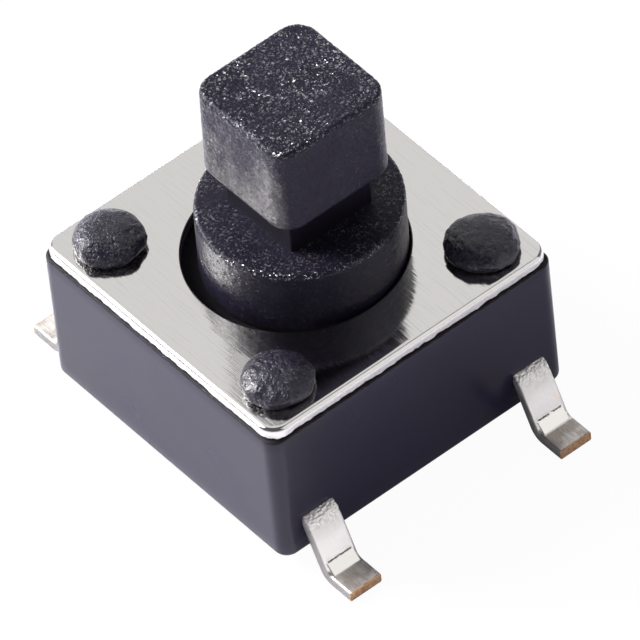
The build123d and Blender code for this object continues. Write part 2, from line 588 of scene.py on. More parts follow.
@dataclass(frozen=True)
class PlatedStrip(Finish):
    """Silvery plating on stamped strip, dulled by wear on the feet and cut through at their tips.
    """

    tip: float = 4.10
    foot_start: float = 3.66
    crease_x: float = 3.47
    crease_z: float = 0.38
    crease_half: float = 0.23
    row: float = 2.25
    grain_height: float = 0.001
    line_height: float = 0.004
    dull: Colour = (0.50, 0.44, 0.40, 1.0)
    buffed: Colour = (0.80, 0.76, 0.72, 1.0)
    scored: Colour = (0.30, 0.27, 0.24, 1.0)
    straw: Colour = (0.96, 0.83, 0.70, 1.0)
    grimy: Colour = (0.14, 0.11, 0.09, 1.0)
    # painted shade in the crease above the coined face
    crease_shade: Colour = (0.10, 0.09, 0.08, 1.0)
    brown: Colour = (0.46, 0.26, 0.14, 1.0)
    copper: Colour = (0.66, 0.44, 0.26, 1.0)
    flank_grey: Colour = (0.32, 0.31, 0.305, 1.0)

    def crease(self, board: Board, place: Wire, waver: Wire) -> Wire:
        """The broken line where the coined face meets the leg, painted dark as painted shade in the
        crease.

        Args:
            board: The tree.
            place: The point on the piece, in millimetres.
            waver: A fine noise that bends and breaks the line.

        Returns:
            1 on the line.
        """
        beyond = abs(board.along(place, Axis.X)) - self.crease_x
        above = board.along(place, Axis.Z) - self.crease_z
        away = (beyond * beyond + above * above).power(0.5)
        line = (away + (waver - 0.5) * 0.05).step(0.024, 0.010)
        across = abs(abs(board.along(place, Axis.Y)) - self.row)
        within = across.step(self.crease_half + 0.03, self.crease_half)
        return line * within * waver.step(0.36, 0.46)

    def foot_tone(self, board: Board, place: Wire, lines: Wire) -> Wire:
        """The dull, lined and clouded colour of the worn feet.

        Args:
            board: The tree.
            place: The point on the piece, in millimetres.
            lines: The drawn-out noise of the stamping lines.

        Returns:
            The colour.
        """
        cloud = board.noise(place, 3.0, detail=2.0, seed=9.0)
        tone = board.mix(cloud.step(0.38, 0.62), self.dull, self.buffed)
        return board.mix(lines.step(0.45, 0.70) * 0.45, tone, self.scored)

    def paint(self, board: Board, place: Wire) -> Wire:
        """Builds the shader.

        Args:
            board: The tree.
            place: The point on the piece, in millimetres.

        Returns:
            The shader.
        """
        out = abs(board.along(place, Axis.X))
        up = board.along(place, Axis.Z)
        across = abs(abs(board.along(place, Axis.Y)) - self.row)
        waver = board.noise(place, 17.0, detail=3.0, seed=0.3)
        lines = board.noise(board.stretched(place, (0.08, 1.0, 1.0)), 30.0, detail=3.0, seed=5.0)
        smear = board.noise(board.stretched(place, (1.0, 0.5, 1.0)), 5.2, detail=1.0, seed=7.1)
        smear = smear.step(0.60, 0.68) * up.step(0.34, 0.44) * up.step(0.90, 0.74)
        grime = board.noise(place, 16.0, detail=2.0, seed=6.0).step(0.66, 0.72)
        crease = self.crease(board, place, waver)
        foot = out.step(self.foot_start, self.foot_start + 0.03) * up.step(0.14, 0.17)
        cut = out.step(self.tip - 0.012, self.tip - 0.004)
        flank = across.step(0.300, 0.325) * (1 - cut)
        frost = up.step(0.66, 0.90)

        tone = board.mix(smear * 0.6, self.colour, self.straw)
        tone = board.mix(foot, tone, self.foot_tone(board, place, lines))
        tone = board.mix(foot * grime * 0.6, tone, self.grimy)
        # painted shade along the crease
        tone = board.mix(crease * 0.92, tone, self.crease_shade)
        tone = board.mix(flank * 0.95, tone, self.flank_grey)
        torn = board.noise(place, 24.0, detail=2.0, seed=3.0).step(0.35, 0.65)
        bare = board.mix(torn, self.brown, self.copper)
        rough = self.roughness + foot * 0.10 + cut * 0.25 + crease * 0.3 + waver * 0.08
        height = board.noise(place, 18.0, detail=3.0, seed=2.5) * self.grain_height
        height = height + lines * foot * self.line_height
        values = {
            "Base Color": board.mix(cut, tone, bare),
            "Metallic": 1 - crease * 0.5 - cut * 0.4 - frost * 0.5 - foot * 0.35,
            "Roughness": rough + frost * 0.06 + flank * 0.25,
            "Normal": self.bump(board, height),
        }
        return self.surface(board, values)


@dataclass(frozen=True)
class SpringSteel(Finish):
    """Rolled, sprung steel with fine rolling lines and a faint straw tint."""

    line_height: float = 0.001
    straw: Colour = (0.56, 0.50, 0.40, 1.0)

    def paint(self, board: Board, place: Wire) -> Wire:
        """Builds the shader.

        Args:
            board: The tree.
            place: The point on the piece, in millimetres.

        Returns:
            The shader.
        """
        rolled = board.noise(board.stretched(place, (0.06, 1.0, 1.0)), 30.0, detail=3.0, seed=1.0)
        stain = board.noise(place, 1.5, detail=3.0, seed=2.0)
        values = {
            "Base Color": board.mix(stain.step(0.4, 0.75) * 0.4, self.colour, self.straw),
            "Metallic": 1.0,
            "Roughness": self.roughness + rolled * 0.12,
            "Normal": self.bump(board, rolled * self.line_height),
        }
        return self.surface(board, values)


HEAD_FINISH = SparkErodedPlastic("spark_eroded_black", (0.0085, 0.0070, 0.0150, 1.0), 0.34)
STAKE_FINISH = SparkErodedPlastic(
    "melted_black",
    (0.0105, 0.0085, 0.017, 1.0),
    0.25,
    facet_size=0.05,
    facet_lean=0.3,
    dust=0.2,
    fold_depth=0.004,
    bump_height=0.017,
    sparkle=0.1,
    gloss=0.5,
)
WALL_FINISH = MouldedPlastic("satin_black", (0.0056, 0.0040, 0.0175, 1.0), 0.25)
COVER_FINISH = BrushedSheet("brushed_cover", (0.69, 0.675, 0.65, 1.0), 0.082)
STRIP_FINISH = PlatedStrip("plated_strip", (0.87, 0.85, 0.80, 1.0), 0.25)
DOME_FINISH = SpringSteel("spring_steel", (0.60, 0.60, 0.58, 1.0), 0.24)


def linked(name: str, data: bpy.types.ID) -> bpy.types.Object:
    """Makes an object from a mesh, lamp or camera and puts it in the scene.

    Args:
        name: Its name.
        data: What it shows.

    Returns:
        The object.
    """
    made = bpy.data.objects.new(name, data)
    bpy.context.scene.collection.objects.link(made)
    return made


def turn_outwards(mesh: bpy.types.Mesh, merge: float = 0.0) -> None:
    """Turns all faces of a mesh outwards.

    Args:
        mesh: The mesh, in millimetres.
        merge: Corners closer than this become one first, or 0 to leave them.
    """
    work = bmesh.new()
    work.from_mesh(mesh)
    if merge:
        bmesh.ops.remove_doubles(work, verts=work.verts, dist=merge)
    bmesh.ops.recalc_face_normals(work, faces=work.faces)
    work.to_mesh(mesh)
    work.free()


def new_object(name: str, points: np.ndarray, faces: list[list[int]]) -> bpy.types.Object:
    """Makes a mesh object in millimetres.

    Args:
        name: The piece's name.
        points: Its corners.
        faces: The corners of each face.

    Returns:
        The object, with every face pointing outwards.
    """
    mesh = bpy.data.meshes.new(name)
    mesh.from_pydata([tuple(map(float, p)) for p in points], [], faces)
    mesh.validate()
    turn_outwards(mesh, MERGE)
    return linked(name, mesh)


def cad_copy(node: str) -> bpy.types.Mesh:
    """Copies a CAD node's mesh.

    Args:
        node: The node's name.

    Returns:
        The copy, in millimetres and without materials.
    """
    mesh = frame["nodes"][node].data.copy()
    mesh.transform(Matrix.Scale(1 / MM, 4))
    mesh.materials.clear()
    return mesh


def set_grain(mesh: bpy.types.Mesh, amounts: Sequence[float] | np.ndarray) -> None:
    """Stores how rough the surface is at each corner."""
    values = np.array(amounts, np.float32)
    mesh.attributes.new(GRAIN, "FLOAT", "POINT").data.foreach_set("value", values)


def rounded_square(half: float, corner: float, count: int) -> np.ndarray:
    """Points round a square with round corners, evenly spaced from the middle of its +X side.

    Args:
        half: Half the square's width.
        corner: The corners' radius, which makes a circle when it equals half.
        count: How many points, a multiple of four.

    Returns:
        One row of x and y for each point.
    """
    corner = min(corner, half)
    straight = half - corner
    arc = corner * math.pi / 2
    quarter = 2 * straight + arc
    rows = []
    for number in range(count // 4):
        run = quarter * number / (count // 4)
        if run <= straight:
            rows.append((half, run))
        elif run < straight + arc:
            turn = (run - straight) / corner
            rows.append((straight + corner * math.cos(turn), straight + corner * math.sin(turn)))
        else:
            rows.append((straight - (run - straight - arc), half))
    turned = [np.array(rows)]
    for _ in range(3):
        x, y = turned[-1].T
        turned.append(np.column_stack([-y, x]))
    return np.concatenate(turned)


@dataclass
class Ring:
    """One level of a skin: a rounded square about the vertical axis."""

    z: float
    half: float
    corner: float
    grain: float = 0.0


class Skin:
    """A closed skin of rings about the vertical axis, from one pole to the other."""

    # how far the patch stays clear of the ring, in spacings
    patch_margin = 0.7

    def __init__(self, count: int, first: Ring, patch: float = 0.0) -> None:
        """Starts the skin.

        Args:
            count: How many points each ring has.
            first: The first ring.
            patch: Spacing of the even points that fill the first ring, or 0 for a plain fan.
        """
        self.count = count
        self.patch = patch
        self.rings = [first]

    def run(
        self,
        z: float,
        half: float,
        corner: float | None = None,
        steps: int = 2,
        grain: float = 0.0,
    ) -> None:
        """Goes straight on to another ring.

        Args:
            z: The ring's level.
            half: Half its width.
            corner: Its corners' radius, or nothing for a round one.
            steps: How many rings the way takes.
            grain: How rough the surface is on the way.
        """
        last = self.rings[-1]
        corner = half if corner is None else corner
        for number in range(1, steps + 1):
            t = number / steps
            level = last.z + (z - last.z) * t
            reach = last.half + (half - last.half) * t
            self.rings.append(Ring(level, reach, last.corner + (corner - last.corner) * t, grain))

    def turn(
        self, rise: float, spread: float, steps: int, grain: float = 0.0, flat_first: bool = True
    ) -> None:
        """Goes round a quarter of an ellipse.

        Args:
            rise: How far the level changes, up or down.
            spread: How far the half width changes, out or in.
            steps: How many rings the turn takes.
            grain: How rough the surface is there.
            flat_first: True if the way starts level and ends upright.
        """
        last = self.rings[-1]
        for number in range(1, steps + 1):
            angle = math.pi / 2 * number / steps
            out = math.sin(angle) if flat_first else 1 - math.cos(angle)
            up = 1 - math.cos(angle) if flat_first else math.sin(angle)
            level, wider = last.z + rise * up, spread * out
            self.rings.append(Ring(level, last.half + wider, last.corner + wider, grain))

    def build(self, name: str) -> bpy.types.Object:
        """Makes the mesh, with the roughness of each ring in its grain attribute.

        Args:
            name: The object's name.

        Returns:
            The object, in millimetres.
        """
        count = self.count
        rows = []
        for ring in self.rings:
            plan = rounded_square(ring.half, ring.corner, count)
            rows.append(np.column_stack([plan, np.full(count, ring.z)]))
        first, last = self.rings[0], self.rings[-1]
        inner, faces = self.filling(first, rows[0], len(rows) * count)
        points = np.concatenate([*rows, inner, [[0, 0, last.z]]])
        for level in range(len(rows) - 1):
            base = level * count
            for j in range(count):
                k = (j + 1) % count
                faces.append([base + j, base + count + j, base + count + k, base + k])
        end = (len(rows) - 1) * count
        for j in range(count):
            faces.append([len(points) - 1, end + (j + 1) % count, end + j])
        mesh = bpy.data.meshes.new(name)
        mesh.from_pydata([tuple(map(float, p)) for p in points], [], faces)
        grain = np.repeat([ring.grain for ring in self.rings], count)
        set_grain(mesh, np.concatenate([grain, np.full(len(inner), first.grain), [last.grain]]))
        turn_outwards(mesh)
        return linked(name, mesh)

    def filling(
        self, ring: Ring, row: np.ndarray, start: int
    ) -> tuple[np.ndarray, list[list[int]]]:
        """Closes the first ring, with one middle point or with an even patch of points.

        Args:
            ring: The first ring.
            row: Its points.
            start: The number that the first new point gets.

        Returns:
            The new points and the faces between them and the ring.
        """
        if not self.patch:
            fan = [[start, j, (j + 1) % self.count] for j in range(self.count)]
            return np.array([[0, 0, ring.z]]), fan
        margin = self.patch_margin * self.patch
        steps = int(ring.half / self.patch) + 2
        a, b = np.meshgrid(np.arange(-steps, steps + 1), np.arange(-steps * 1.2, steps * 1.2 + 1))
        x, y = (a + (b % 2) / 2) * self.patch, b * self.patch * math.sqrt(0.75)
        plan = np.column_stack([x.ravel(), y.ravel()])
        over = np.clip(np.abs(plan) - (ring.half - ring.corner), 0, None)
        within = np.abs(plan).max(1) < ring.half - margin
        plan = plan[within & (np.hypot(*over.T) < ring.corner - margin)]
        edges = [(j, (j + 1) % self.count) for j in range(self.count)]
        flat = [Vector(p) for p in np.concatenate([row[:, :2], plan])]
        _, _, cells, origin, _, _ = delaunay_2d_cdt(flat, edges, [], 1, 1e-7)
        number = [o[0] if o[0] < self.count else start + o[0] - self.count for o in origin]
        faces = [[number[i] for i in cell] for cell in cells]
        return np.column_stack([plan, np.full(len(plan), ring.z)]), faces


class SheetMesh:
    """Points and faces of a sheet, made from closed loops of points."""

    def __init__(self) -> None:
        """Starts with nothing."""
        self.points: list[Point] = []
        self.faces: list[list[int]] = []

    def add(self, loop: np.ndarray, level: float | np.ndarray) -> list[int]:
        """Adds one loop of points.

        Args:
            loop: Its x and y, row by row.
            level: Its height, or the height of each point.

        Returns:
            The points' numbers.
        """
        start = len(self.points)
        heights = np.broadcast_to(level, len(loop))
        self.points.extend((float(x), float(y), float(z)) for (x, y), z in zip(loop, heights))
        return list(range(start, len(self.points)))

    def bridge(self, first: list[int], second: list[int]) -> None:
        """Joins two loops of as many points by a band of faces.

        Args:
            first: The numbers of one loop's points.
            second: Those of the other.
        """
        for j, _ in enumerate(first):
            k = (j + 1) % len(first)
            self.faces.append([first[j], first[k], second[k], second[j]])

    def fill(self, loops: list[list[int]], is_open: Callable[[Vector], bool]) -> None:
        """Fills the flat face between an outer loop and its holes.

        Args:
            loops: The numbers of each loop's points, the outer loop first.
            is_open: Tells whether a point of the plan lies in a hole.
        """
        numbers = [i for loop in loops for i in loop]
        flat = [Vector(self.points[i][:2]) for i in numbers]
        edges, start = [], 0
        for loop in loops:
            edges += [(start + j, start + (j + 1) % len(loop)) for j in range(len(loop))]
            start += len(loop)
        _, _, found, origin, _, _ = delaunay_2d_cdt(flat, edges, [], 1, 1e-7)
        for face in found:
            centre = sum((flat[origin[i][0]] for i in face), Vector((0, 0))) / len(face)
            if not is_open(centre):
                self.faces.append([numbers[origin[i][0]] for i in face])


class MeshTree:
    """A Geometry Nodes tree with named inputs, and the way it is run on a piece."""

    # the relief that leaves a point where it is, so that most points move inwards
    unmoved = 0.8
    knob_roundness = 1.6

    def __init__(self, name: str, inputs: dict[str, str]) -> None:
        """Starts the tree.

        Args:
            name: The tree's name.
            inputs: The socket type of each named input.
        """
        self.tree = bpy.data.node_groups.new(name, "GeometryNodeTree")
        for way in ("INPUT", "OUTPUT"):
            self.tree.interface.new_socket("Geometry", in_out=way, socket_type="NodeSocketGeometry")
        self.ids: dict[str, str] = {}
        for label, kind in inputs.items():
            socket = self.tree.interface.new_socket(label, in_out="INPUT", socket_type=kind)
            self.ids[label] = socket.identifier
        self.board = Board(self.tree)
        self.entry = self.board.node("NodeGroupInput")

    def given(self, label: str) -> Wire:
        """One of the tree's inputs."""
        return Wire(self.board, self.entry.outputs[label])

    def close(self, geometry: Wire) -> None:
        """Realizes the instances, sets the material and ends the tree.

        Args:
            geometry: What the tree has made.
        """
        real = self.board.wire("GeometryNodeRealizeInstances", None, {0: geometry})
        values = {"Geometry": real, "Material": self.given("Material")}
        dressed = self.board.wire("GeometryNodeSetMaterial", None, values)
        self.board.node("NodeGroupOutput", None, {0: dressed})

    def grain(self) -> Wire:
        """Reads how rough the surface is from its grain attribute.

        Returns:
            The roughness.
        """
        settings, values = {"data_type": "FLOAT"}, {"Name": GRAIN}
        named = self.board.node("GeometryNodeInputNamedAttribute", settings, values)
        shown = next(s for s in named.outputs if s.enabled and s.name == "Attribute")
        return Wire(self.board, shown)

    def moved(self, geometry: Wire, offset: Wire) -> Wire:
        """The geometry with each point moved by an offset."""
        values = {"Geometry": geometry, "Offset": offset}
        return self.board.wire("GeometryNodeSetPosition", None, values)

    def roughened(self, geometry: Wire) -> Wire:
        """Moves a surface in along its normals by noise, as far as its grain attribute says.

        Args:
            geometry: The surface.

        Returns:
            The rough surface.
        """
        board = self.board
        place = board.scaled(board.wire("GeometryNodeInputPosition"), 1 / self.given("Cell Size"))
        soft = board.noise(place, 1.0, detail=2.0, seed=self.given("Seed"))
        away = board.cells(board.vector("ADD", place, self.given("Seed")), 1.0)
        knobs = 1 - away * away * self.knob_roundness
        relief = soft * (1 - self.given("Knobs")) + knobs * self.given("Knobs")
        amount = (relief - self.unmoved) * self.given("Depth") * self.grain()
        return self.moved(geometry, board.scaled(board.wire("GeometryNodeInputNormal"), amount))

    def lumpy(self, geometry: Wire) -> Wire:
        """Moves a surface sideways by a broad noise, as far as its grain attribute says.

        Args:
            geometry: The surface.

        Returns:
            The uneven surface.
        """
        board = self.board
        place = board.scaled(board.wire("GeometryNodeInputPosition"), 1 / self.given("Lump Size"))
        drift = board.noise(place, 1.0, detail=1.0, seed=self.given("Seed"), output="Color")
        drift = board.vector("SUBTRACT", drift, (0.5, 0.5, 0.5))
        sideways = board.vector("MULTIPLY", drift, (1.0, 1.0, 0.5))
        amount = self.given("Lump Height") * self.grain()
        return self.moved(geometry, board.scaled(sideways, amount))

    def run(self, piece: bpy.types.Object, values: Settings) -> None:
        """Runs the tree on a piece and leaves a plain mesh.

        Args:
            piece: The object.
            values: What each named input is set to.
        """
        modifier = piece.modifiers.new(self.tree.name, "NODES")
        modifier.node_group = self.tree
        for label, value in values.items():
            modifier[self.ids[label]] = value
        settle(piece)


def settle(piece: bpy.types.Object) -> None:
    """Turns what a piece's modifiers give into its own plain mesh.

    Args:
        piece: The object.
    """
    bpy.context.view_layer.update()
    graph = bpy.context.evaluated_depsgraph_get()
    result = bpy.data.meshes.new_from_object(piece.evaluated_get(graph), depsgraph=graph)
    piece.modifiers.clear()
    piece.data = result


GRAIN_INPUTS = {
    "Cell Size": "NodeSocketFloat",
    "Depth": "NodeSocketFloat",
    "Knobs": "NodeSocketFloat",
    "Seed": "NodeSocketFloat",
    "Material": "NodeSocketMaterial",
}
ROW_INPUTS = {
    "Spacing": "NodeSocketFloat",
    "Level": "NodeSocketFloat",
    "Turn Seed": "NodeSocketInt",
    "Lump Size": "NodeSocketFloat",
    "Lump Height": "NodeSocketFloat",
}


def grain_tree() -> MeshTree:
    """Builds the tree that gives any piece its moulded or crinkled relief.

    Returns:
        The tree.
    """
    made = MeshTree("surface_grain", GRAIN_INPUTS)
    made.close(made.roughened(made.given("Geometry")))
    return made


def row_tree() -> MeshTree:
    """Builds the tree that sets a stake blank on each corner of a square and melts each one.

    Returns:
        The tree.
    """
    made = MeshTree("stakes_on_corners", {**ROW_INPUTS, **GRAIN_INPUTS})
    board = made.board
    size = made.given("Spacing")
    values = {"Size X": size, "Size Y": size, "Vertices X": 2, "Vertices Y": 2}
    corners = board.wire("GeometryNodeMeshGrid", None, values)
    lift = board.wire("ShaderNodeCombineXYZ", None, {2: made.given("Level")})
    corners = made.moved(corners, lift)
    values = {0: (0.0, 0.0, -math.pi), 1: (0.0, 0.0, math.pi), "Seed": made.given("Turn Seed")}
    spin = board.wire("FunctionNodeRandomValue", {"data_type": "FLOAT_VECTOR"}, values)
    values = {"Points": corners, "Instance": made.given("Geometry"), "Rotation": spin}
    stakes = board.wire("GeometryNodeInstanceOnPoints", None, values)
    stakes = board.wire("GeometryNodeRealizeInstances", None, {0: stakes})
    made.close(made.roughened(made.lumpy(stakes)))
    return made


def join(piece: bpy.types.Object, addition: bpy.types.Object) -> None:
    """Makes one object part of another.

    Args:
        piece: The object that stays.
        addition: The object that goes into it.
    """
    chosen = [piece, addition]
    with bpy.context.temp_override(active_object=piece, selected_editable_objects=chosen):
        bpy.ops.object.join()


def block(name: str, low: Point, high: Point, edge: float = 0.0) -> bpy.types.Object:
    """A box between two corners, with its edges broken if asked.

    Args:
        name: The object's name.
        low: The lowest corner.
        high: The highest corner.
        edge: How far its edges are broken.

    Returns:
        The box.
    """
    sides = list(zip(low, high))
    points = [(x, y, z) for x in sides[0] for y in sides[1] for z in sides[2]]
    faces = [[0, 1, 3, 2], [4, 6, 7, 5], [0, 4, 5, 1], [2, 3, 7, 6], [0, 2, 6, 4], [1, 5, 7, 3]]
    made = new_object(name, np.array(points), faces)
    if edge:
        bevel = made.modifiers.new("edge", "BEVEL")
        bevel.width = edge
        bevel.segments = 2
        settle(made)
    return made


def cut_away(piece: bpy.types.Object, cutter: bpy.types.Object) -> None:
    """Takes one shape out of another and removes the cutter.

    Args:
        piece: What stays.
        cutter: What is taken out.
    """
    modifier = piece.modifiers.new("cut", "BOOLEAN")
    modifier.operation = "DIFFERENCE"
    modifier.solver = "EXACT"
    modifier.use_self = True
    modifier.object = cutter
    settle(piece)
    bpy.data.objects.remove(cutter)


def smooth(piece: bpy.types.Object, angle: float) -> None:
    """Shades a piece smooth but for the edges sharper than an angle in degrees."""
    piece.data.shade_smooth()
    piece.data.set_sharp_from_angle(angle=math.radians(angle))


def hand_over(piece: bpy.types.Object, body: str, node: str) -> None:
    """Scales a piece to metres and gives it its body and the node that it stands for.

    Args:
        piece: The finished piece, in millimetres.
        body: The CAD body that carries it.
        node: The CAD node that it replaces.
    """
    piece.data.transform(Matrix.Scale(MM, 4))
    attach(piece, body)
    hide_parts(node)
    LOG.info("%s: %d faces, rides on %s", piece.name, len(piece.data.polygons), body)


@dataclass
class Levels:
    """Heights above the board that several sub-assemblies share."""

    board_gap: float = 0.40
    body_top: float = 3.15
    cover_top: float = 3.39
    boss_top: float = 4.51
    neck_top: float = 5.31
    head_top: float = 7.13
    flange_top: float = 3.13
    flange_bottom: float = 2.58
    ear_slot_floor: float = 2.23
    floor: float = 1.22
    nub: float = 1.62


@dataclass
class Plunger:
    """The pressed piece: square head, neck, round boss, flange with ears and the nub below."""

    levels: Levels
    grain: MeshTree
    shift: tuple[float, float] = (0.0748, 0.1068)
    lean: tuple[float, float] = (0.0177, 0.0120)
    head_half: float = 1.1725
    head_top_half: float = 1.1625
    head_corner: float = 0.42
    # how far the top lies below its level, so that its relief stays inside the CAD box
    head_sink: float = 0.004
    top_round: float = 0.09
    lower_round: float = 0.10
    neck_half: float = 0.85
    neck_corner: float = 0.04
    boss_radius: float = 1.73
    boss_round: float = 0.07
    boss_fade: float = 0.1
    flange_radius: float = 2.07
    ear_half_width: float = 0.45
    ear_radius: float = 2.35
    ear_overlap: float = 0.1
    ear_edge: float = 0.02
    core_radius: float = 1.33
    core_top: float = 3.61
    nub_root: float = 0.80
    nub_radius: float = 0.55
    nub_chamfer: float = 0.10
    # how far the sides stand out before the relief, which mostly moves them back in
    relief_room: float = 0.010
    patch: float = 0.019
    around: int = 360

    def skin(self) -> Skin:
        """Lays out the whole outline, from the middle of the head's top down to the nub.

        Returns:
            The skin.
        """
        at = self.levels
        room = self.relief_room
        half, boss = self.head_half + room, self.boss_radius + room
        inner = self.head_top_half + room - self.top_round
        crown = Ring(at.head_top - self.head_sink, inner, self.head_corner - self.top_round, 1.0)
        made = Skin(self.around, crown, self.patch)
        made.turn(-self.top_round, self.top_round, steps=6, grain=1.0)
        made.run(at.neck_top + self.lower_round, half, self.head_corner, steps=62, grain=0.6)
        made.turn(-self.lower_round, -self.lower_round, steps=5, grain=0.5, flat_first=False)
        made.run(at.neck_top, self.neck_half, self.neck_corner, steps=8, grain=0.1)
        made.run(at.boss_top, self.neck_half, self.neck_corner, steps=14, grain=0.1)
        made.run(at.boss_top, boss - self.boss_round, steps=26, grain=0.6)
        made.turn(-self.boss_round, self.boss_round, steps=5, grain=1.0)
        made.run(at.flange_top + self.boss_fade, boss, steps=38, grain=0.45)
        made.run(at.flange_top, self.boss_radius, steps=3)
        made.run(at.flange_top, self.flange_radius)
        made.run(at.flange_bottom, self.flange_radius)
        made.run(at.flange_bottom, self.core_radius)
        made.run(self.core_top, self.core_radius)
        made.run(self.core_top, self.nub_root)
        made.run(at.flange_bottom, self.nub_root)
        made.run(at.flange_bottom, self.nub_radius, steps=1)
        made.run(at.nub + self.nub_chamfer, self.nub_radius)
        made.run(at.nub, self.nub_radius - self.nub_chamfer, steps=1)
        return made

    def standing(self) -> Matrix:
        """Works out the plunger's place in its play, leaning a little above the cover.

        Returns:
            The move from upright about the axis.
        """
        level = self.levels.cover_top
        tilt = Matrix.Identity(4)
        tilt[0][2], tilt[1][2] = self.lean
        tilt[0][3], tilt[1][3] = -self.lean[0] * level, -self.lean[1] * level
        return Matrix.Translation((*self.shift, 0)) @ tilt

    def build(self) -> None:
        """Makes the plunger and hands it to the button body."""
        piece = self.skin().build("plunger_moulding")
        values = {"Cell Size": 0.065, "Depth": 0.024, "Knobs": 0.5, "Seed": 3.0}
        self.grain.run(piece, {**values, "Material": HEAD_FINISH.material()})
        at = self.levels
        for side in (-1, 1):
            root = side * (self.flange_radius - self.ear_overlap)
            near, far = sorted((root, side * self.ear_radius))
            low = (-self.ear_half_width, near, at.flange_bottom)
            high = (self.ear_half_width, far, at.flange_top)
            join(piece, block("ear", low, high, self.ear_edge))
        piece.data.transform(self.standing())
        smooth(piece, angle=62)
        hand_over(piece, "button", "plunger")


@dataclass
class Housing:
    """The block with recess, slots and holes, and the four melted stakes that hold the cover."""

    levels: Levels
    stakes: MeshTree
    half: float = 3.0
    corner: float = 0.25
    underside_round: float = 0.08
    shoulder_round: float = 0.05
    # half the width of the smallest ring, which a fan of triangles closes
    middle: float = 0.05
    recess_radius: float = 2.265
    slot_half_width: float = 0.695
    slot_reach: float = 2.595
    pin_hole_radius: float = 0.30
    pin_hole_place: tuple[float, float] = (1.30, 2.25)
    pin_hole_top: float = 0.97
    cut_overrun: float = 0.5
    stake_spacing: float = 4.34
    stake_radius: float = 0.63
    stake_seat: float = 0.53
    stake_lift: float = 0.002
    stake_rim: float = 0.12
    stake_height: float = 0.44
    stake_middle: float = 0.015
    post_radius: float = 0.45
    post_sink: float = 0.30

    def shell(self) -> bpy.types.Object:
        """Makes the block with its round recess, ear slots and pin holes.

        Returns:
            The shell.
        """
        at = self.levels
        inner = self.half - self.underside_round
        inner_corner = self.corner - self.underside_round
        middle = Ring(at.board_gap, self.middle, self.middle * inner_corner / inner)
        made = Skin(count=480, first=middle)
        made.run(at.board_gap, inner, inner_corner, steps=6)
        made.turn(self.underside_round, self.underside_round, steps=4)
        made.run(at.body_top - self.shoulder_round, self.half, self.corner, steps=12)
        made.turn(self.shoulder_round, -self.shoulder_round, steps=4, flat_first=False)
        made.run(at.body_top, self.recess_radius, steps=4)
        made.run(at.floor, self.recess_radius, steps=3)
        made.run(at.floor, self.middle, steps=3)
        piece = made.build("housing_moulding")
        low = (-self.slot_half_width, -self.slot_reach, at.ear_slot_floor)
        high = (self.slot_half_width, self.slot_reach, at.body_top + self.cut_overrun)
        cutter = block("slot", low, high)
        for x in (-self.pin_hole_place[0], self.pin_hole_place[0]):
            for y in (-self.pin_hole_place[1], self.pin_hole_place[1]):
                join(cutter, self.pin(x, y))
        cut_away(piece, cutter)
        return piece

    def pin(self, x: float, y: float) -> bpy.types.Object:
        """The shape of one pin hole in the underside.

        Args:
            x: Its place along X.
            y: Its place along Y.

        Returns:
            The hole's shape.
        """
        radius, middle = self.pin_hole_radius, self.pin_hole_radius / 2
        below = self.levels.board_gap - self.cut_overrun
        made = Skin(count=48, first=Ring(self.pin_hole_top, middle, middle))
        made.run(self.pin_hole_top, radius, steps=1)
        made.run(below, radius, steps=1)
        made.run(below, middle, steps=1)
        piece = made.build("pin")
        piece.data.transform(Matrix.Translation((x, y, 0)))
        return piece

    def stake_blank(self) -> Skin:
        """One stake before it is melted: crown, rim, lip, seat and post, its seat at level 0.

        Returns:
            The skin.
        """
        middle = self.stake_middle
        made = Skin(count=176, first=Ring(self.stake_height, middle, middle, 1.0))
        drop = self.stake_rim - self.stake_height
        made.turn(drop, self.stake_radius - middle, steps=34, grain=1.0)
        lip = self.stake_seat - self.stake_radius
        made.turn(-self.stake_rim, lip, steps=8, grain=1.0, flat_first=False)
        made.run(self.stake_lift, self.post_radius, steps=3)
        made.run(-self.post_sink, self.post_radius, steps=4)
        made.run(-self.post_sink, self.middle)
        return made

    def build(self) -> None:
        """Makes the housing and hands it to the base body."""
        piece = self.shell()
        piece.data.materials.append(WALL_FINISH.material())
        smooth(piece, angle=40)
        heads = self.stake_blank().build("stake_heads")
        values = {"Spacing": self.stake_spacing, "Level": self.levels.cover_top, "Turn Seed": 11}
        values |= {"Lump Size": 0.42, "Lump Height": 0.16}
        values |= {"Cell Size": 0.11, "Depth": 0.036, "Knobs": 0.15, "Seed": 5.0}
        self.stakes.run(heads, {**values, "Material": STAKE_FINISH.material()})
        smooth(heads, angle=70)
        join(piece, heads)
        hand_over(piece, "base", "housing")


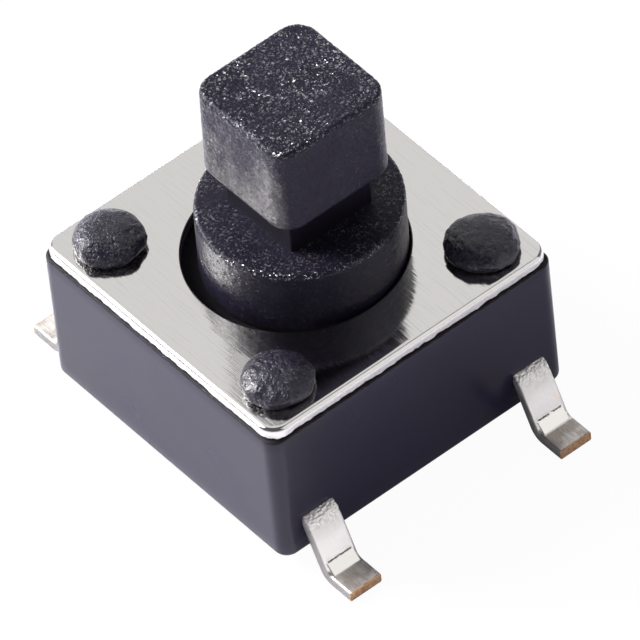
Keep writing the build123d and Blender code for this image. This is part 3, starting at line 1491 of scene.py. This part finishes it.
@dataclass
class Cover:
    """The stamped cover: rolled at its upper edge, sheared and burred at its lower one."""

    levels: Levels
    half: float = 2.973
    corner: float = 0.34
    roll: float = 0.09
    roll_steps: int = 7
    flat_margin: float = 0.02
    hole_radius: float = 1.895
    hole_break: float = 0.015
    stake_hole: float = 0.48
    stake_place: float = 2.17
    side_shares: tuple[float, ...] = (0.35, 0.7, 1.0)
    burr: float = 0.115
    # how many points each layer of the burr's random heights is smoothed over, and its share
    burr_layers: tuple[tuple[int, float], ...] = ((3, 0.35), (9, 0.45), (31, 0.2))
    burr_unsmoothed: float = 0.15
    burr_under: float = 0.6
    burr_inset: float = 0.06
    burr_root: float = 0.14
    around: int = 720
    around_hole: int = 288
    around_stake: int = 64

    def outer(self, inset: float = 0.0) -> np.ndarray:
        """The outer outline, some way in from the edge."""
        return rounded_square(self.half - inset, self.corner - inset, self.around)

    def throat(self, grow: float = 0.0) -> np.ndarray:
        """The outline of the plunger's hole, some way wider than its narrowest."""
        radius = self.hole_radius + grow
        return rounded_square(radius, radius, self.around_hole)

    def stake_holes(self) -> list[np.ndarray]:
        """The outlines of the four holes for the stakes.

        Returns:
            One outline for each hole.
        """
        hole = rounded_square(self.stake_hole, self.stake_hole, self.around_stake)
        places = (-self.stake_place, self.stake_place)
        return [hole + (x, y) for x in places for y in places]

    def in_hole(self, centre: Vector, throat: float) -> bool:
        """Tells whether a point of the plan lies in the plunger's hole or in a stake's.

        Args:
            centre: The point.
            throat: The radius of the plunger's hole.

        Returns:
            True if it lies in one of them.
        """
        stake = Vector((self.stake_place, self.stake_place))
        corner = Vector((abs(centre.x), abs(centre.y))) - stake
        return centre.length < throat or corner.length < self.stake_hole

    def ragged(self) -> np.ndarray:
        """How far the sheared lower edge stands above the housing, round the outline.

        Returns:
            One height for each point of the outline.
        """
        rng = np.random.default_rng(7)
        rough = rng.random(self.around)
        wide = np.zeros(self.around)
        for reach, share in self.burr_layers:
            window = np.hanning(reach + 2)[1:-1]
            soft = np.convolve(np.tile(rng.random(self.around), 3), window / window.sum(), "same")
            soft = soft[self.around : 2 * self.around]
            wide += share * (soft - soft.min()) / (soft.max() - soft.min())
        return self.burr * ((1 - self.burr_unsmoothed) * wide + self.burr_unsmoothed * rough)

    def edge(self, sheet: SheetMesh, start: list[int]) -> list[int]:
        """Adds the rolled upper edge, the side and the ragged lower edge.

        Args:
            sheet: The sheet so far.
            start: The numbers of the top face's outer points.

        Returns:
            The numbers of the bottom face's outer points.
        """
        top, bottom = self.levels.cover_top, self.levels.body_top
        ragged = self.ragged()
        levels: list[tuple[np.ndarray, float | np.ndarray]] = [(self.outer(self.roll), top)]
        for number in range(1, self.roll_steps + 1):
            turn = math.pi / 2 * number / self.roll_steps
            inset = self.roll * (1 - math.sin(turn))
            levels.append((self.outer(inset), top - self.roll * (1 - math.cos(turn))))
        upper, lower = top - self.roll, bottom + ragged
        levels += [(self.outer(), upper + (lower - upper) * share) for share in self.side_shares]
        levels.append((self.outer(self.burr_inset), bottom + ragged * self.burr_under))
        levels.append((self.outer(self.burr_root), bottom))
        last = start
        for loop, level in levels:
            following = sheet.add(loop, level)
            sheet.bridge(last, following)
            last = following
        return last

    def build(self) -> None:
        """Makes the cover and hands it to the base body."""
        top, bottom = self.levels.cover_top, self.levels.body_top
        margin, wide = self.flat_margin, self.hole_break + self.flat_margin
        sheet = SheetMesh()
        outer = sheet.add(self.outer(self.roll + margin), top)
        holes = [sheet.add(loop, top) for loop in (self.throat(wide), *self.stake_holes())]
        sheet.fill([outer, *holes], lambda centre: self.in_hole(centre, self.hole_radius + wide))
        under = self.edge(sheet, outer)
        under_holes = [sheet.add(loop, bottom) for loop in (self.throat(), *self.stake_holes())]
        sheet.fill([under, *under_holes], lambda centre: self.in_hole(centre, self.hole_radius))
        rim = sheet.add(self.throat(self.hole_break), top)
        sheet.bridge(holes[0], rim)
        throat = sheet.add(self.throat(), top - self.hole_break)
        sheet.bridge(rim, throat)
        sheet.bridge(throat, under_holes[0])
        for above, below in zip(holes[1:], under_holes[1:]):
            sheet.bridge(above, below)
        piece = new_object("cover_sheet", np.array(sheet.points), sheet.faces)
        piece.data.materials.append(COVER_FINISH.material())
        smooth(piece, angle=50)
        hand_over(piece, "base", "cover_plate")


@dataclass
class SnapDome:
    """The sprung disc under the plunger: the CAD shape, smoothed."""

    node: str = "snap_dome"
    rim_level: float = 1.24
    pressed_share: float = 0.32

    def build(self) -> None:
        """Makes the disc from a copy of the CAD mesh and hands it to the base body."""
        mesh = cad_copy(self.node)
        turn_outwards(mesh, MERGE)
        mesh.materials.append(DOME_FINISH.material())
        piece = linked("snap_disc", mesh)
        smooth(piece, angle=30)
        hand_over(piece, "base", self.node)
        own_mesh(piece)


class StripSide:
    """Side view of a bent strip, station by station along its middle line."""

    def __init__(self, half: float) -> None:
        """Starts with no station.

        Args:
            half: Half the strip's thickness.
        """
        self.half = half
        self.outer: list[Vector] = []
        self.inner: list[Vector] = []
        self.grain: list[float] = []

    def station(self, point: Vector, normal: Vector, rough: float) -> None:
        """Adds one station.

        Args:
            point: Its place on the middle line.
            normal: The way to the outer face.
            rough: How crinkled the strip is there.
        """
        self.outer.append(point + normal * self.half)
        self.inner.append(point - normal * self.half)
        self.grain.append(rough)

    def bend(
        self,
        corner: Vector,
        before: Vector,
        after: Vector,
        radius: float,
        steps: int,
        rough: float,
    ) -> Vector:
        """Goes round one bend.

        Args:
            corner: Where the straight runs would meet.
            before: A point on the run before it.
            after: A point on the run after it.
            radius: The middle line's radius.
            steps: How many stations follow the first.
            rough: How crinkled the strip is there.

        Returns:
            Where the bend ends.
        """
        first, second = (before - corner).normalized(), (after - corner).normalized()
        angle = first.angle(second)
        reach = radius / math.tan(angle / 2)
        start, end = corner + first * reach, corner + second * reach
        middle = corner + (first + second).normalized() * (radius / math.sin(angle / 2))
        way = 1.0 if middle.y < corner.y else -1.0
        opening = math.atan2(start.y - middle.y, start.x - middle.x)
        sweep = (end - middle).angle_signed(start - middle)
        for number in range(steps + 1):
            t = number / steps
            arm = Vector((math.cos(opening + sweep * t), math.sin(opening + sweep * t)))
            self.station(middle + arm * radius, arm * way, rough)
        return end


@dataclass
class Terminal:
    """One stamped strip: its inner part from the CAD mesh, and two detailed gull-wing legs."""

    node: str
    name: str
    side: int
    grain: MeshTree
    thickness: float = 0.20
    width: float = 0.66
    pitch_half: float = 2.25
    rail_z: float = 1.07
    shoulder: float = 3.04
    slope: float = 25.0
    foot_length: float = 0.614
    upper_bend: float = 0.14
    lower_bend: float = 0.22
    coin_rise: float = 0.20
    coin_run: float = 0.09
    coin_inset: float = 0.05
    root: float = 2.80
    edge_roll: float = 0.045
    edge_break: float = 0.02
    side_depths: tuple[float, float] = (0.6, 0.88)
    # how far the feet stand off the board, so that their rounding stays inside the CAD box
    bed: float = 0.0003
    # how crinkled the leg still is at its calmest, and how fast it calms below the upper bend
    calm: float = 0.04
    calming: float = 3.6
    across: int = 44
    rail_steps: int = 10
    leg_steps: int = 56
    foot_steps: int = 30
    roll_steps: int = 5

    def centre_line(self) -> list[tuple[float, float]]:
        """The corners of the strip's middle line, from its root to its tip.

        Returns:
            The root, the shoulder, the heel and the tip, in side view.
        """
        drop = self.rail_z - self.thickness / 2
        heel = self.shoulder + drop * math.tan(math.radians(self.slope))
        low = self.thickness / 2 + self.bed
        rail = [(self.root, self.rail_z), (self.shoulder, self.rail_z)]
        return [*rail, (heel, low), (heel + self.foot_length, low)]

    def side_view(self) -> StripSide:
        """Lays out a leg in side view, most crinkled at its upper bend.

        Returns:
            The stations from root to tip.
        """
        root, shoulder, heel, tip = (Vector(corner) for corner in self.centre_line())
        made = StripSide(self.thickness / 2)
        up = Vector((0, 1))
        for number in range(self.rail_steps - 2):
            made.station(root.lerp(shoulder, number / self.rail_steps), up, 0.8)
        leg_start = made.bend(shoulder, root, heel, self.upper_bend, steps=26, rough=1.0)
        reach = self.lower_bend / math.tan((root - shoulder).angle(heel - shoulder) / 2)
        leg_end = heel + (shoulder - heel).normalized() * reach
        leg = (leg_end - leg_start).normalized()
        out = Vector((-leg.y, leg.x))
        for number in range(1, self.leg_steps):
            t = number / self.leg_steps
            rough = max(self.calm, 1.0 - t * self.calming)
            made.station(leg_start.lerp(leg_end, t), out, rough)
        foot_start = made.bend(heel, shoulder, tip, self.lower_bend, steps=16, rough=0.02)
        for number in range(1, self.foot_steps + 1):
            made.station(foot_start.lerp(tip, number / self.foot_steps), up, 0.12)
        return made

    def coined(self, points: np.ndarray) -> np.ndarray:
        """Moves the outer face's stations between the crease and the foot onto the coined face.

        Args:
            points: The outer face's points in side view.

        Returns:
            The points with the coined face in place.
        """
        angle = math.radians(self.slope)
        heel = self.centre_line()[2][0]
        corner = heel + self.thickness / 2 * math.tan(math.pi / 4 - angle / 2)
        crease_x = corner - self.coin_rise * math.sin(angle)
        crease = np.array((crease_x, self.thickness + self.coin_rise * math.cos(angle)))
        foot = np.array((corner + self.coin_run, self.thickness))
        first = int(np.argmin(np.hypot(*(points - crease).T)))
        last = int(np.argmin(np.hypot(*(points - foot).T)))
        moved = points.copy()
        for number in range(first, last + 1):
            t = (number - first) / (last - first)
            moved[number] = crease + (foot - crease) * t
        return moved

    def section(self) -> list[tuple[float, float]]:
        """One cross-section: place across the width, and depth from the outer to the inner face.

        Returns:
            The points round the section.
        """
        half, roll = self.width / 2, self.edge_roll
        flat, under = half - roll, half - self.edge_break
        breadth = self.width - 2 * self.edge_break
        rolled = []
        for number in range(1, self.roll_steps + 1):
            angle = math.pi / 2 * number / self.roll_steps
            depth = roll * (1 - math.cos(angle)) / self.thickness
            rolled.append((flat + roll * math.sin(angle), depth))
        edge = [*rolled, *((half, depth) for depth in self.side_depths), (under, 1.0)]
        made = [(-flat + 2 * flat * number / self.across, 0.0) for number in range(self.across + 1)]
        made += edge
        made += [(under - breadth * number / self.across, 1.0) for number in range(1, self.across)]
        made += [(-across, depth) for across, depth in reversed(edge)]
        return made

    def leg(self, way: int, seed: float) -> bpy.types.Object:
        """One leg.

        Args:
            way: +1 or -1 along X.
            seed: What makes its crinkles its own.

        Returns:
            The leg.
        """
        view = self.side_view()
        outer, inner = (np.array([tuple(p) for p in face]) for face in (view.outer, view.inner))
        pressed = self.coined(outer)
        section = self.section()
        rows, rough = [], []
        for station, grain in enumerate(view.grain):
            for across, depth in section:
                middle = depth == 0 and abs(across) < self.width / 2 - self.coin_inset
                face = pressed if middle else outer
                x, z = face[station] * (1 - depth) + inner[station] * depth
                rows.append((way * x, across, z))
                rough.append(grain * (1.0 if depth < 0.5 else 0.1))
        count = len(section)
        last = len(outer) - 1
        faces = []
        for station in range(last):
            base = station * count
            for j in range(count):
                k = (j + 1) % count
                faces.append([base + j, base + k, base + count + k, base + count + j])
        faces.append(list(range(count)))
        faces.append(list(range(last * count, (last + 1) * count)))
        made = new_object("leg", np.array(rows), faces)
        set_grain(made.data, rough)
        made.data.transform(Matrix.Translation((0, self.side * self.pitch_half, 0)))
        values = {"Cell Size": 0.045, "Depth": 0.024, "Knobs": 0.85, "Seed": seed}
        self.grain.run(made, {**values, "Material": STRIP_FINISH.material()})
        return made

    def inside(self) -> bpy.types.Object:
        """The strip's part within the housing, cut from a copy of the CAD mesh.

        Returns:
            The inner part, in millimetres.
        """
        mesh = cad_copy(self.node)
        work = bmesh.new()
        work.from_mesh(mesh)
        bmesh.ops.remove_doubles(work, verts=work.verts, dist=1e-4)
        for way in (-1, 1):
            geometry = [*work.verts, *work.edges, *work.faces]
            place, normal = (way * self.root, 0, 0), (way, 0, 0)
            found = bmesh.ops.bisect_plane(
                work, geom=geometry, plane_co=place, plane_no=normal, clear_outer=True
            )
            edges = [e for e in found["geom_cut"] if isinstance(e, bmesh.types.BMEdge)]
            bmesh.ops.holes_fill(work, edges=edges)
        bmesh.ops.recalc_face_normals(work, faces=work.faces)
        work.to_mesh(mesh)
        work.free()
        mesh.materials.append(STRIP_FINISH.material())
        return linked(self.name, mesh)

    def build(self) -> None:
        """Makes the strip and hands it to the base body."""
        piece = self.inside()
        for way in (-1, 1):
            join(piece, self.leg(way, 10.0 + 3 * way + self.side))
        smooth(piece, angle=48)
        hand_over(piece, "base", self.node)


@dataclass(frozen=True)
class Lamp:
    """One square soft box that faces the object: place in degrees, width in metres, and glow."""

    name: str
    azimuth: float
    elevation: float
    width: float
    glow: float


LAMPS = (
    Lamp("key", -52, 40, 0.17, 4.6),
    Lamp("spark", -50, 42, 0.06, 24.0),
    Lamp("fill", -60, 22, 0.12, 24.0),
    Lamp("card", 232, 50, 0.34, 0.80),
    Lamp("side", 120, 34, 0.21, 0.90),
)


@dataclass
class Studio:
    """The floor, the lamps and the camera at the photograph's viewing angle."""

    azimuth: float = 55.0991
    elevation: float = 46.7802
    roll: float = -6.5682
    distance: float = 214.2189
    lens: float = 735.68
    target: Point = (0.0, 0.0, 2.39)
    shift: tuple[float, float] = (0.03106, -0.05006)
    lamp_distance: float = 0.25
    floor_half: float = 2000.0
    floor_tint: Colour = (0.86, 0.845, 0.90, 1.0)
    sky_tint: Colour = (0.94, 0.92, 1.0, 1.0)
    sky_glow: float = 0.13
    horizon_glow: float = 0.60

    @staticmethod
    def direction(azimuth: float, elevation: float) -> Vector:
        """The way from the object towards an azimuth and elevation in degrees."""
        a, e = math.radians(azimuth), math.radians(elevation)
        return Vector((math.sin(a) * math.cos(e), -math.cos(a) * math.cos(e), math.sin(e)))

    def camera(self) -> None:
        """Makes the camera and puts it where the photograph was taken from."""
        back = self.direction(self.azimuth, self.elevation)
        a, r = math.radians(self.azimuth), math.radians(self.roll)
        right = Vector((math.cos(a), math.sin(a), 0))
        up = back.cross(right)
        side = right * math.cos(r) + up * math.sin(r)
        top = up * math.cos(r) - right * math.sin(r)
        data = bpy.data.cameras.new("camera")
        data.lens = self.lens
        data.sensor_width = 36.0
        data.shift_x, data.shift_y = self.shift
        data.clip_start, data.clip_end = 0.001, 10.0
        made = linked("camera", data)
        place = (Vector(self.target) + back * self.distance) * MM
        axes = Matrix((side, top, back)).transposed().to_4x4()
        made.matrix_world = Matrix.Translation(place) @ axes
        bpy.context.scene.camera = made

    def light(self, lamp: Lamp) -> None:
        """Sets up one lamp, out of the camera's sight.

        Args:
            lamp: The lamp.
        """
        data = bpy.data.lights.new(lamp.name, "AREA")
        data.shape = "RECTANGLE"
        data.size = data.size_y = lamp.width
        data.energy = lamp.glow * math.pi * lamp.width**2
        made = linked(lamp.name, data)
        way = self.direction(lamp.azimuth, lamp.elevation)
        made.location = way * self.lamp_distance
        made.rotation_mode = "QUATERNION"
        made.rotation_quaternion = way.to_track_quat("Z", "Y")
        made.visible_camera = False

    def world(self) -> None:
        """Sets a dim surrounding, brighter near the horizon, that the camera sees as white."""
        made = bpy.data.worlds.new("surrounding")
        board = Board.emptied(made)
        seen = board.wire("ShaderNodeLightPath", None, None, "Is Camera Ray")
        height = board.along(board.wire("ShaderNodeTexCoord"), Axis.Z)
        glow = self.sky_glow + height.step(0.42, 0.10) * self.horizon_glow
        dim = board.wire("ShaderNodeBackground", None, {0: self.sky_tint, 1: glow})
        white = board.wire("ShaderNodeBackground", None, {0: WHITE, 1: 1.0})
        shader = board.wire("ShaderNodeMixShader", None, {0: seen, 1: dim, 2: white})
        board.node("ShaderNodeOutputWorld", None, {"Surface": shader})
        bpy.context.scene.world = made

    def floor(self) -> None:
        """Lays a white floor that keeps a faint shadow of the object."""
        made = bpy.data.materials.new("white_floor")
        board = Board.emptied(made)
        seen = board.wire("ShaderNodeLightPath", None, None, "Is Camera Ray")
        mirrored = board.wire("ShaderNodeLightPath", None, None, "Is Glossy Ray")
        matt = board.wire("ShaderNodeBsdfDiffuse", None, {0: self.floor_tint})
        white = board.wire("ShaderNodeEmission", None, {0: WHITE, 1: 1.0})
        share = seen * 0.96 + mirrored * 0.04
        shader = board.wire("ShaderNodeMixShader", None, {0: share, 1: matt, 2: white})
        board.node("ShaderNodeOutputMaterial", None, {"Surface": shader})
        half = self.floor_half
        corners = np.array([(-half, -half, 0), (half, -half, 0), (half, half, 0), (-half, half, 0)])
        plane = new_object("floor", corners, [[0, 1, 2, 3]])
        plane.data.transform(Matrix.Scale(MM, 4))
        plane.data.materials.append(made)

    def build(self) -> None:
        """Sets up everything that isn't the object."""
        bpy.context.scene.view_settings.view_transform = "Standard"
        self.camera()
        self.world()
        self.floor()
        for lamp in LAMPS:
            self.light(lamp)
        LOG.info("studio: camera at azimuth %.1f, elevation %.1f", self.azimuth, self.elevation)


def main() -> None:
    """Builds the studio and every sub-assembly, in order."""
    logging.basicConfig(level=logging.INFO, format="%(name)s: %(message)s")
    levels = Levels()
    grain = grain_tree()
    Studio().build()
    Housing(levels, row_tree()).build()
    Cover(levels).build()
    Plunger(levels, grain).build()
    SnapDome().build()
    Terminal("centre_terminal", "centre_strip", 1, grain).build()
    Terminal("rim_terminal", "rim_strip", -1, grain).build()


if __name__ == "__main__":
    main()
